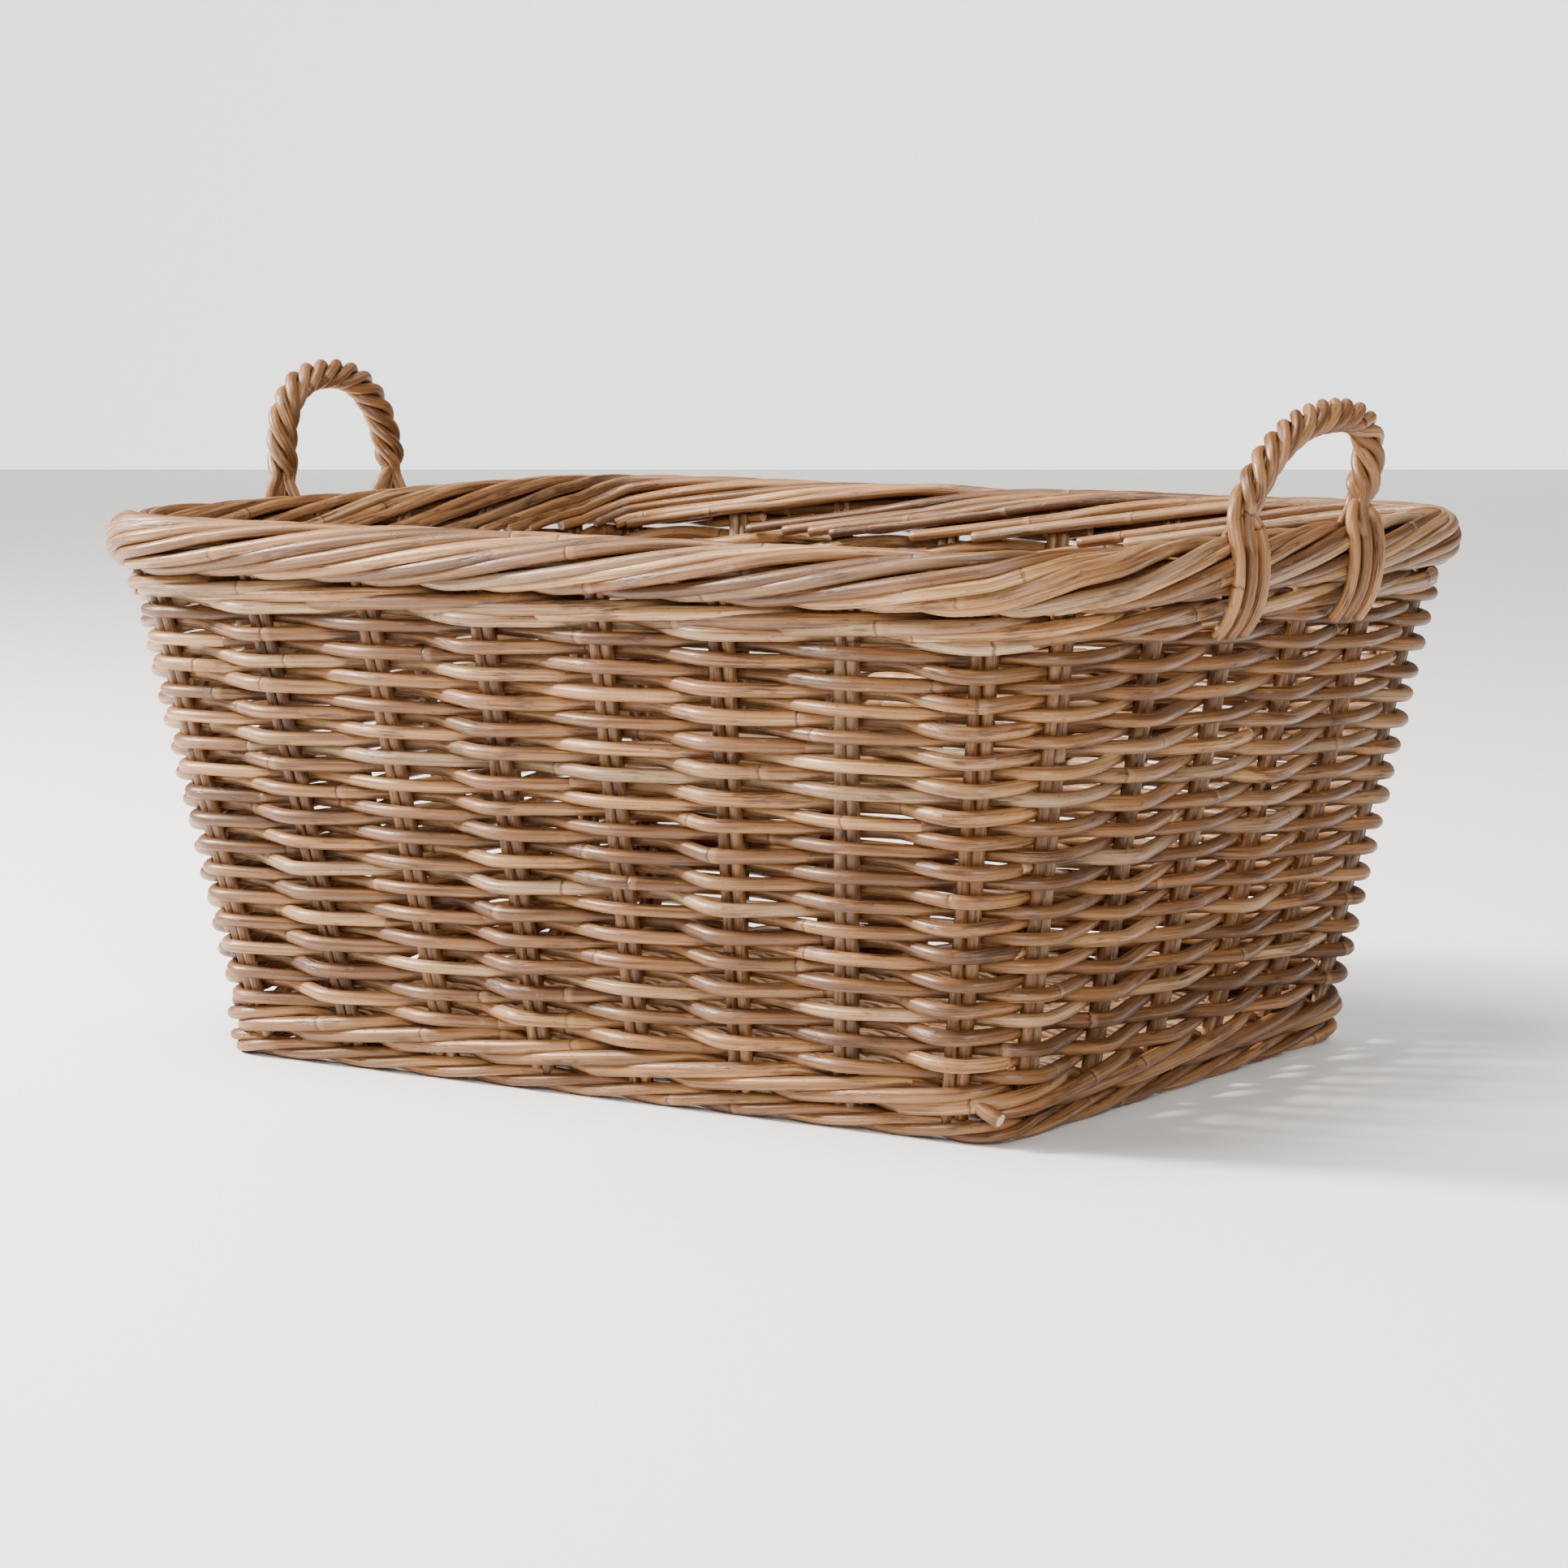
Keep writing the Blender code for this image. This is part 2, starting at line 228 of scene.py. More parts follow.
def wall_table(half, corner, stakes):
    """Points on an outline at FINE even steps between one stake pair and the next."""
    outline = rounded_outline(half, corner)
    count = len(outline)
    places = [int(np.argmin(np.linalg.norm(outline - stake[:2], axis=1))) for stake in stakes]
    rows = []
    for here, there in zip(places, places[1:] + places[:1]):
        span = (there - here) % count
        where = (here + span * np.arange(FINE) / FINE) % count
        rows.append(np.stack([
            np.interp(where, np.arange(count + 1), np.append(outline[:, axis], outline[0, axis]))
            for axis in (0, 1)
        ], 1))
    return np.concatenate(rows)


STAKES = [read_stake(index) for index in range(STATIONS)]
FOOT_TABLE = wall_table(FOOT_BOX[1][:2] - FOOT_HALF_WIDTH, FOOT_CORNER, [s[0] for s in STAKES])
RIM_TABLE = wall_table(BORDER_BOX[1][:2] - BORDER_HALF_WIDTH, RIM_CORNER, [s[1] for s in STAKES])


def wall(turn, z):
    """Points on the line of stakes and outward directions: turn counts stake pairs, z is height."""
    turn, z = np.broadcast_arrays(np.asarray(turn, float), np.asarray(z, float))
    place = turn * FINE
    whole = np.floor(place).astype(int)
    part = (place - whole)[:, None]
    share = (z / RIM_Z)[:, None]
    size = len(FOOT_TABLE)

    def at(step):
        sample = (whole + step) % size
        return FOOT_TABLE[sample] * (1 - share) + RIM_TABLE[sample] * share

    point = at(0) * (1 - part) + at(1) * part
    along = at(6) - at(-5)      # over a stretch, so that it turns smoothly at the corners
    along /= np.linalg.norm(along, axis=1)[:, None]
    out = np.stack([along[:, 1], -along[:, 0]], 1)
    return point, out


def path_on_wall(turn, z, outwards):
    """A path round the basket: turns in stake pairs, height and distance out of the stake line."""
    point, out = wall(turn, z)
    place = point + out * np.asarray(outwards)[:, None]
    return np.column_stack([place, np.broadcast_to(z, turn.shape)])


# ---------------------------------------------------------------- rods
def evenly(path, count):
    """The same path as count points at even distances, and how far along it they are."""
    run = run_along(path)
    where = np.linspace(0, run[-1], count)
    return np.stack([np.interp(where, run, path[:, axis]) for axis in range(3)], 1), where


def soften(path, rounds):
    """The path with its corners eased, between the same two ends."""
    for _ in range(rounds):
        middle = (path[:-2] + 2 * path[1:-1] + path[2:]) / 4
        path = np.concatenate([path[:1], middle, path[-1:]])
    return path


def ease(value):
    """From 0 to 1 with a gentle start and end."""
    value = np.clip(value, 0, 1)
    return value * value * (3 - 2 * value)


def transported(path):
    """Directions along and twice across a path at each point, carried along without twisting."""
    along = np.gradient(path, axis=0)
    along /= np.linalg.norm(along, axis=1)[:, None]
    start = np.array([0.0, 0.0, 1.0]) if abs(along[0][2]) < 0.8 else np.array([1.0, 0.0, 0.0])
    across = np.empty_like(path)
    current = start
    for index, direction in enumerate(along):
        current = current - direction * current.dot(direction)
        current = current / np.linalg.norm(current)
        across[index] = current
    return along, across, np.cross(along, across)


def smooth_noise(rng, where, spacing):
    """A soft random line through values at even spacing, about -1 to 1."""
    knots = rng.uniform(-1, 1, int(where[-1] / spacing) + 4)
    place = where / spacing
    whole = place.astype(int)
    part = place - whole
    part = part * part * (3 - 2 * part)
    return knots[whole] * (1 - part) + knots[whole + 1] * part


class Bundle:
    """Rods that end up in one mesh."""

    def __init__(self, name):
        self.name = name
        self.rng = np.random.default_rng([SEED, sum(ord(c) * (i + 3) for i, c in enumerate(name))])
        self.verts, self.faces, self.grain, self.tone, self.ring, self.pith = [], [], [], [], [], []
        self.count = 0

    def add(self, path, radius, tone=None, wander=0.0003, taper=0.0, sides=SIDES, step=STEP,
            end_radius=(0.86, 0.86)):
        """One rod along a path, with nodes, a slightly uneven thickness and cut ends."""
        rng = self.rng
        path = np.asarray(path, float)
        path, where = evenly(path, max(4, int(round(run_along(path)[-1] / step)) + 1))
        along, across, third = transported(path)
        path = path + across * (smooth_noise(rng, where, WANDER_RUNS[0]) * wander)[:, None]
        path = path + third * (smooth_noise(rng, where, WANDER_RUNS[1]) * wander)[:, None]
        nodes = np.cumsum(rng.uniform(*NODE_GAPS, int(where[-1] / NODE_GAPS[0]) + 3))
        nodes -= rng.uniform(0, 0.4)
        gap = where[:, None] - nodes[None, :]
        nearest = gap[np.arange(len(where)), np.abs(gap).argmin(1)]
        swell = 1 + NODE_SWELL * np.exp(-(nearest / NODE_LENGTH) ** 2)
        swell = swell + UNEVEN * smooth_noise(rng, where, UNEVEN_RUN)
        girth = radius * swell * (1 + taper * (0.5 - where / where[-1]))
        angle = 2 * math.pi * np.arange(sides) / sides
        section = np.cos(angle)[None, :, None] * across[:, None, :]
        section = section + np.sin(angle)[None, :, None] * third[:, None, :]
        flat = 1 + OVAL * np.cos(2 * angle + rng.uniform(0, 6))
        skin = path[:, None, :] + section * (girth[:, None] * flat[None, :])[:, :, None]
        offset = rng.uniform(0, 50)
        tone = self.pick_tone() if tone is None else tone
        grain = np.stack(np.broadcast_arrays(
            where[:, None] + offset,
            radius * np.cos(angle)[None, :],
            radius * np.sin(angle)[None, :],
        ), 2)
        self.put(skin, grain, nearest, tone, sides, path, along, end_radius)

    def pick_tone(self):
        """How pale and how greyed a rod is; the third number says nothing."""
        return (self.rng.uniform(0, 1), self.rng.uniform(0, 1), self.rng.uniform(0, 1))

    def put(self, skin, grain, nearest, tone, sides, path, along, end_radius):
        """A rod's sections as rings of four-cornered faces, and its two ends."""
        rows = len(skin)
        base = self.count
        index = base + np.arange(rows * sides).reshape(rows, sides)
        nxt = np.roll(index, -1, axis=1)
        quads = np.stack([index[:-1], nxt[:-1], nxt[1:], index[1:]], 2).reshape(-1, 4)
        self.faces += quads.tolist()
        self.verts.append(skin.reshape(-1, 3))
        self.grain.append(grain.reshape(-1, 3))
        self.ring.append(np.repeat(nearest, sides))
        self.pith.append(np.zeros(rows * sides))
        self.count += rows * sides
        for end, sign, shrink in ((0, -1.0, end_radius[0]), (rows - 1, 1.0, end_radius[1])):
            self.cap(skin[end], grain[end], path[end], along[end] * sign, index[end], sides, sign, shrink)
        total = self.count - base
        self.tone.append(np.tile(np.array(tone, float), (total, 1)))

    def cap(self, ring, grain, centre, outward, index, sides, sign, shrink):
        """A cut end: a small bevel and a flat face of pith."""
        inner = centre + (ring - centre) * shrink + outward * CUT_BEVEL
        for pith in (0.0, 1.0):
            self.verts.append(inner)
            self.grain.append(grain)
            self.ring.append(np.full(sides, NO_NODE))
            self.pith.append(np.full(sides, pith))
        self.verts.append((centre + outward * CUT_BEVEL)[None])
        self.grain.append(grain.mean(0)[None])
        self.ring.append(np.full(1, NO_NODE))
        self.pith.append(np.full(1, 1.0))
        bevel = self.count + np.arange(sides)
        face = bevel + sides
        middle = self.count + 2 * sides
        for k in range(sides):
            n = (k + 1) % sides
            a, b = (index[k], index[n]), (bevel[k], bevel[n])
            quad = [a[0], a[1], b[1], b[0]]
            fan = [face[k], face[n], middle]
            if sign < 0:
                quad.reverse()
                fan.reverse()
            self.faces.append([int(v) for v in quad])
            self.faces.append([int(v) for v in fan])
        self.count += 2 * sides + 1

    def build(self, slot, replaced):
        """The mesh object, riding on the basket and standing for its CAD nodes."""
        mesh = bpy.data.meshes.new(self.name)
        mesh.from_pydata(np.concatenate(self.verts).tolist(), [], self.faces)
        for name, kind, values in (
            ("grain", "FLOAT_VECTOR", np.concatenate(self.grain)),
            ("tone", "FLOAT_VECTOR", np.concatenate(self.tone)),
            ("ring", "FLOAT", np.concatenate(self.ring)),
            ("pith", "FLOAT", np.concatenate(self.pith)),
        ):
            layer = mesh.attributes.new(name, kind, "POINT")
            key = "vector" if kind == "FLOAT_VECTOR" else "value"
            layer.data.foreach_set(key, values.astype(np.float32).ravel())
        mesh.shade_smooth()
        mesh.materials.append(MATERIALS[slot])
        obj = bpy.data.objects.new(self.name, mesh)
        bpy.context.scene.collection.objects.link(obj)
        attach(obj, "root")
        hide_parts(*replaced)
        return obj


# ---------------------------------------------------------------- rattan
class Nodes:
    """A short way to write a shader's node tree."""

    def __init__(self, material):
        self.tree = material.node_tree
        self.shader = self.tree.nodes["Principled BSDF"]

    def new(self, kind, **settings):
        node = self.tree.nodes.new(kind)
        for key, value in settings.items():
            setattr(node, key, value)
        return node

    def link(self, source, target):
        self.tree.links.new(source, target)

    def feed(self, socket, value):
        if isinstance(value, bpy.types.NodeSocket):
            self.link(value, socket)
        else:
            socket.default_value = value

    def attribute(self, name):
        return self.new("ShaderNodeAttribute", attribute_name=name)

    def math(self, operation, first, second=0.0, clamp=False):
        node = self.new("ShaderNodeMath", operation=operation, use_clamp=clamp)
        self.feed(node.inputs[0], first)
        self.feed(node.inputs[1], second)
        return node.outputs[0]

    def stretched(self, vector, scale, offset):
        node = self.new("ShaderNodeMapping")
        self.link(vector, node.inputs["Vector"])
        node.inputs["Scale"].default_value = scale
        node.inputs["Location"].default_value = offset
        return node.outputs[0]

    def noise(self, vector, detail, rough):
        node = self.new("ShaderNodeTexNoise")
        self.link(vector, node.inputs["Vector"])
        node.inputs["Scale"].default_value = 1.0
        node.inputs["Detail"].default_value = detail
        node.inputs["Roughness"].default_value = rough
        return node.outputs["Fac"]

    def ramp(self, value, stops):
        node = self.new("ShaderNodeValToRGB")
        elements = node.color_ramp.elements
        while len(elements) < len(stops):
            elements.new(0.5)
        for element, (place, colour) in zip(elements, stops):
            element.position = place
            element.color = (*colour, 1.0)
        self.link(value, node.inputs["Fac"])
        return node.outputs["Color"]

    def span(self, value, low, high, to_low=0.0, to_high=1.0):
        node = self.new("ShaderNodeMapRange")
        node.inputs["From Min"].default_value = low
        node.inputs["From Max"].default_value = high
        node.inputs["To Min"].default_value = to_low
        node.inputs["To Max"].default_value = to_high
        self.link(value, node.inputs["Value"])
        return node.outputs["Result"]

    def mix(self, blend, share, first, second):
        node = self.new("ShaderNodeMix", data_type="RGBA", blend_type=blend)
        self.feed(node.inputs["Factor"], share)
        self.feed(node.inputs[6], first)
        self.feed(node.inputs[7], second)
        return node.outputs[2]


TONES = (
    (0.00, (0.092, 0.037, 0.011)),
    (0.22, (0.150, 0.066, 0.021)),
    (0.50, (0.232, 0.110, 0.039)),
    (0.74, (0.318, 0.165, 0.065)),
    (0.90, (0.412, 0.240, 0.113)),
    (1.00, (0.480, 0.320, 0.186)),
)
FIBRE_SHADES = ((0.32, (0.42, 0.33, 0.27)), (0.48, (0.92, 0.90, 0.88)), (0.70, (1.28, 1.25, 1.20)))
PITH_SHADES = ((0.38, (0.25, 0.15, 0.09)), (0.52, (0.62, 0.46, 0.30)))
GREYED = (0.320, 0.228, 0.135, 1.0)
FLECK_SHADE = (0.42, 0.30, 0.22, 1.0)
SCUFF_TONE = (0.42, 0.28, 0.17, 1.0)
BARK_SHADE = (0.34, 0.25, 0.20, 1.0)
STAIN_SHADE = (0.60, 0.42, 0.30, 1.0)
NODE_TONE = (0.400, 0.235, 0.115, 1.0)
NODE_SHADE = (0.34, 0.22, 0.15, 1.0)


class Grain:
    """The patterns that run along a rod: how far along it and round it they vary, per metre."""

    def __init__(self, n):
        grain = n.attribute("grain").outputs["Vector"]

        def pattern(along, round_it, offset=(0.0, 0.0, 0.0), detail=2.0, rough=0.6):
            return n.noise(n.stretched(grain, (along, round_it, round_it), offset), detail, rough)

        self.cloud = pattern(9.0, 60.0, detail=3.0, rough=0.55)
        self.fibre = pattern(20.0, 950.0, detail=3.0, rough=0.62)
        self.streak = pattern(13.0, 420.0, (3.0, 1.0, 2.0), rough=0.55)
        self.scuff = pattern(70.0, 260.0, (1.0, 8.0, 4.0), 4.0, 0.65)
        self.flecks = n.span(pattern(230.0, 900.0, (7.0, 5.0, 1.0)), 0.64, 0.70)
        self.scuffed = n.span(self.scuff, 0.62, 0.72)
        patches = n.span(pattern(26.0, 90.0, (9.0, 4.0, 2.0), 3.0), 0.565, 0.63)
        strips = n.span(pattern(60.0, 900.0, (2.0, 2.0, 6.0)), 0.45, 0.55)
        self.bark = n.math("MULTIPLY", patches, strips)
        self.stain = n.span(pattern(22.0, 150.0, (5.0, 2.0, 9.0), 3.0), 0.60, 0.74)
        self.pores = pattern(900.0, 1500.0, detail=1.0, rough=0.5)


def rod_tone(n, g, low, high):
    """The rod's own colour: its place between the darkest and palest tone, with clouds and streaks."""
    tones = n.new("ShaderNodeSeparateXYZ")
    n.link(n.attribute("tone").outputs["Vector"], tones.inputs[0])
    place = n.span(tones.outputs[0], 0.0, 1.0, low, high)
    place = n.math("ADD", place, n.span(g.cloud, 0.3, 0.7, -0.16, 0.16))
    place = n.math("ADD", place, n.span(g.streak, 0.3, 0.7, -0.24, 0.24), True)
    greyed = n.span(tones.outputs[1], 0.78, 1.0, 0.0, 0.75)
    greyed = n.math("MULTIPLY", greyed, n.span(g.cloud, 0.35, 0.6, 0.35, 1.0))
    colour = n.mix("MIX", greyed, n.ramp(place, TONES), GREYED)
    return n.mix("MULTIPLY", 1.0, colour, n.ramp(g.fibre, FIBRE_SHADES))


def worn(n, g, colour):
    """Dark flecks, pale scuffs, strips of bark that were left on, and stains."""
    colour = n.mix("MULTIPLY", n.math("MULTIPLY", g.flecks, 0.75), colour, FLECK_SHADE)
    colour = n.mix("MIX", n.math("MULTIPLY", g.scuffed, 0.30), colour, SCUFF_TONE)
    colour = n.mix("MULTIPLY", n.math("MULTIPLY", g.bark, 0.85), colour, BARK_SHADE)
    return n.mix("MULTIPLY", n.math("MULTIPLY", g.stain, 0.55), colour, STAIN_SHADE)


def node_rings(n, g, colour):
    """A thin dark line round the rod at each node, and a paler band beside it."""
    ring = n.attribute("ring").outputs["Fac"]
    place = n.math("ADD", ring, n.span(g.scuff, 0.3, 0.7, -0.0007, 0.0007))
    line = n.span(n.math("ABSOLUTE", place), 0.0004, 0.0011, 1.0, 0.0)
    band = n.math("ABSOLUTE", n.math("SUBTRACT", place, 0.0026))
    band = n.span(band, 0.0008, 0.0030, 1.0, 0.0)
    colour = n.mix("MIX", n.math("MULTIPLY", band, 0.28), colour, NODE_TONE)
    shown = n.math("MULTIPLY", line, n.span(g.cloud, 0.35, 0.6, 0.35, 0.9))
    return n.mix("MULTIPLY", shown, colour, NODE_SHADE), line


def relief(n, g, line):
    """Fibres and streaks stand up; node lines, flecks and torn bark are sunk."""
    height = n.math("MULTIPLY", g.fibre, 0.55)
    height = n.math("ADD", height, n.math("MULTIPLY", g.streak, 0.8))
    for sunk, depth in ((line, 1.2), (g.flecks, 0.6), (g.bark, 0.8)):
        height = n.math("SUBTRACT", height, n.math("MULTIPLY", sunk, depth))
    bump = n.new("ShaderNodeBump")
    bump.inputs["Strength"].default_value = 0.8
    bump.inputs["Distance"].default_value = 0.00030
    n.link(height, bump.inputs["Height"])
    return bump.outputs["Normal"]


def rattan(name, low, high, gloss):
    """Peeled, lightly waxed rattan.  Tone runs from low to high over the rods of a piece."""
    material = bpy.data.materials.new(name)
    material.use_nodes = True
    n = Nodes(material)
    g = Grain(n)
    pith = n.attribute("pith").outputs["Fac"]
    colour, line = node_rings(n, g, worn(n, g, rod_tone(n, g, low, high)))
    colour = n.mix("MIX", pith, colour, n.ramp(g.pores, PITH_SHADES))
    rough = n.span(g.fibre, 0.3, 0.7, gloss + 0.07, gloss - 0.06)
    rough = n.math("ADD", rough, n.math("MULTIPLY", g.scuffed, 0.16))
    rough = n.math("ADD", rough, n.math("MULTIPLY", pith, 0.25))
    n.link(colour, n.shader.inputs["Base Color"])
    n.link(rough, n.shader.inputs["Roughness"])
    n.link(relief(n, g, line), n.shader.inputs["Normal"])
    n.shader.inputs["Specular IOR Level"].default_value = 0.40
    n.shader.inputs["Coat Weight"].default_value = 0.05
    n.shader.inputs["Coat Roughness"].default_value = 0.24
    return material


# For each material: its darkest and palest rod on the scale of TONES, and its roughness.
MATERIALS = {
    "stake_rattan": rattan("stake_rattan", 0.05, 0.50, 0.46),
    "weaver_rattan": rattan("weaver_rattan", 0.06, 0.78, 0.41),
    "waling_rattan": rattan("waling_rattan", 0.10, 0.85, 0.41),
    "border_rattan": rattan("border_rattan", 0.06, 0.78, 0.42),
    "foot_rattan": rattan("foot_rattan", 0.10, 0.60, 0.45),
    "base_rattan": rattan("base_rattan", 0.05, 0.55, 0.47),
    "handle_rattan": rattan("handle_rattan", 0.14, 0.64, 0.40),
}


# ---------------------------------------------------------------- walls
def build_stakes():
    """Two stakes side by side in each pair, from the foot into the border."""
    for index, (foot, rim) in enumerate(STAKES):
        bundle = Bundle(f"stakes_{index + 1:02d}")
        out = wall([index], [HALF_WAY_UP])[1][0]
        aside = np.array([-out[1], out[0], 0.0])
        for side in (-1, 1):
            z = np.linspace(bundle.rng.uniform(*STAKE_FEET), STAKE_TOP, 40)
            line = foot + (rim - foot) * (z / RIM_Z)[:, None]
            bend = smooth_noise(bundle.rng, z, STAKE_BEND_RUN) * STAKE_BEND
            bundle.add(line + aside * (side * STAKE_SPREAD + bend[:, None]), STAKE_RADIUS,
                       wander=0.0002, end_radius=(0.7, 0.8))
        bundle.build("stake_rattan", [f"stake_pair_{index + 1:02d}"])


def wave_table(values):
    """A weaver's swing or drop over one full wave, with its bends rounded."""
    place = np.linspace(-1, 1, WAVE_SAMPLES, endpoint=False)
    line = np.interp(place, WAVE_STEPS, values)
    reach = np.arange(-WAVE_BLUR_REACH, WAVE_BLUR_REACH + 1)
    blur = np.exp(-(reach / WAVE_BLUR) ** 2)
    padded = np.concatenate([line[-WAVE_BLUR_REACH:], line, line[:WAVE_BLUR_REACH]])
    return place, np.convolve(padded, blur / blur.sum(), "valid")


def along_wave(turn, values):
    """The table's value at each turn: 0 is in front of a stake pair, 1 is behind the next."""
    place, line = wave_table(values)
    return np.interp((turn + 1) % 2 - 1, place, line, period=2)


def row_rod(bundle, z, first, kind, start, reach):
    """A weaver over a stretch of stakes: in front of one pair, behind the next."""
    rng = bundle.rng
    radius, swings, drops = kind
    turn = np.linspace(start - ROW_ENDS[0], start + reach + ROW_ENDS[1], int(reach * 60))
    run = (turn - turn[0]) * ROW_PITCH
    swing = ROW_SWING * (1 + SWING_WAVER * smooth_noise(rng, run, ROW_PITCH))
    drop = along_wave(turn - first, drops) * MILLIMETRE
    drop = drop * (1 + DROP_WAVER * smooth_noise(rng, run, ROW_PITCH))
    height = z - drop
    for size, length in HEIGHT_WAVERS:
        height = height + size * smooth_noise(rng, run, length)
    tuck = ROW_TUCK * ease((turn - turn[-1] + 0.9) / 0.7)
    away = swing * along_wave(turn - first, swings) - tuck
    bundle.add(path_on_wall(turn, height, away), radius * rng.uniform(0.94, 1.06), wander=0.0002,
               taper=rng.uniform(-0.07, 0.07))


def build_courses():
    """Each CAD course is two rows of weavers, and each row is two long rods."""
    for course in range(COURSES):
        name = f"weave_course_{course + 1:02d}"
        low, high = box(name)
        bundle = Bundle(f"rows_{course + 1:02d}")
        for first, kind, share in ROWS_IN_COURSE:
            z = low[2] + share * (high[2] - low[2])
            start = 2 * int(bundle.rng.integers(0, STATIONS // 2)) + 1 - first
            reach = 2 * int(bundle.rng.integers(5, 9))
            row_rod(bundle, z, first, kind, start, reach)
            row_rod(bundle, z, first, kind, start + reach, STATIONS - reach)
        bundle.build("weaver_rattan", [name])


def wale(name, node, sizes, loose_end=None):
    """Three rods that each pass in front of two stake pairs and behind one, as one long path."""
    bundle = Bundle(name)
    rng = bundle.rng
    low, high, radius, out, inside, lengths = sizes
    cuts = np.linspace(0, 3 * STATIONS, lengths + 1)
    cuts = np.round((cuts - 2) / 3) * 3 + 2         # a rod starts and ends behind the stakes
    for start, stop in zip(cuts, cuts[1:]):
        turn = np.linspace(start - WALE_ENDS, stop + WALE_ENDS, int((stop - start) * 40))
        run = (turn - turn[0]) * WALE_PITCH
        phase = (turn + 0.5) % 3
        front = np.sin(math.pi * np.clip(phase / 2, 0, 1)) ** WALE_FULLNESS
        back = np.sin(math.pi * np.clip(phase - 2, 0, 1))
        rise = np.where(phase < 2, phase / 2, 1 - ease(phase - 2))
        z = low + (high - low) * rise + 0.0005 * smooth_noise(rng, run, 0.11)
        tuck = WALE_TUCK * ease((turn - turn[-1] + 0.8) / 0.7)
        away = (out * front - inside * back) * (1 + 0.05 * smooth_noise(rng, run, 0.07)) - tuck
        bundle.add(path_on_wall(turn, z, away), radius * rng.uniform(0.95, 1.06), wander=0.0003)
    if loose_end:
        turn, z, away = (np.linspace(*loose_end[pair:pair + 2], 12) for pair in (0, 2, 4))
        bundle.add(path_on_wall(turn, z, away), radius, wander=0.0001)
    bundle.build("waling_rattan", [node])


def corner_push(turn):
    """How far the foot is pulled out to a sharper turn at each corner of the basket."""
    half = STATIONS / 2
    gaps = [np.abs((turn - corner + half) % STATIONS - half) for corner in CORNER_TURNS]
    return FOOT_PUSH * np.exp(-(np.min(gaps, axis=0) / FOOT_PUSH_RUN) ** 2)


def build_foot():
    """Three rods twisted round each other, on the floor, each in two lengths."""
    bundle = Bundle("foot_twist")
    low, high = FOOT_BOX
    centre = FOOT_RADIUS + FOOT_TWIST + FOOT_LIFT
    perimeter = 2 * (high[0] - low[0]) + 2 * (high[1] - low[1])
    laps = round(perimeter / FOOT_LAY)
    half = STATIONS // 2
    for strand in range(FOOT_STRANDS):
        for start in (0, half):
            turn = np.linspace(start - 0.3, start + half + 0.2, 700)
            angle = 2 * math.pi * (laps * turn / STATIONS + strand / FOOT_STRANDS)
            z = centre + FOOT_TWIST * np.sin(angle)
            away = FOOT_OUT + FOOT_TWIST * np.cos(angle) + corner_push(turn)
            bundle.add(path_on_wall(turn, z, away), FOOT_RADIUS, wander=0.0, end_radius=(0.5, 0.5))
    bundle.build("foot_rattan", ["foot_border"])


def build_border():
    """Each stake pair turns over and runs on in the rolled border, over and into the basket."""
    bundle = Bundle("border_roll")
    low, high = BORDER_BOX
    middle = (low[2] + high[2]) / 2
    reach_out = BORDER_HALF_WIDTH - BORDER_RADIUS
    reach_up = (high[2] - low[2]) / 2 - BORDER_RADIUS
    for index in range(2 * STATIONS):
        rng = bundle.rng
        reach = BORDER_REACH + rng.uniform(*BORDER_REACH_SPREAD)
        share = np.linspace(0, 1, 140)
        turn = index // 2 + (index % 2 - 0.5) * 2 * TWIN_STEP + reach * share
        over = np.clip(share / TAIL_START, 0, 1) ** BORDER_EASE
        angle = BORDER_TURN[0] + BORDER_TURN[1] * over + 4 * smooth_noise(rng, share, 0.3)
        angle = np.radians(angle)
        thin = 1 - BORDER_DEPTH * (1 - ease(share / BORDER_START))
        away = reach_out * np.cos(angle) * thin
        fall = np.clip((share - TAIL_START) / (1 - TAIL_START), 0, 1)
        path = path_on_wall(turn, RIM_Z, away - TAIL_SINK * fall)
        path[:, 2] = middle + reach_up * np.sin(angle) * thin - TAIL_FALL * fall
        bundle.add(path, BORDER_RADIUS * rng.uniform(0.93, 1.05), wander=0.0005, taper=0.12)
    # The filling of the roll, dark as painted shade in the gaps between the border rods
    turn = np.linspace(0, STATIONS, 1200)
    path = path_on_wall(turn, RIM_Z, 0 * turn)
    path[:, 2] = middle
    bundle.add(path, BORDER_CORE, tone=SHADE_CORE_TONE, wander=0.0)
    bundle.build("border_rattan", ["rolled_border"])


# ---------------------------------------------------------------- base
def corner_inset(distance, half):
    """How much shorter a rod is where it meets the base's rounded corner."""
    past = max(0.0, distance - (half - BASE_CORNER))
    return BASE_CORNER - math.sqrt(max(BASE_CORNER ** 2 - past ** 2, 0.0)) + BASE_GAP


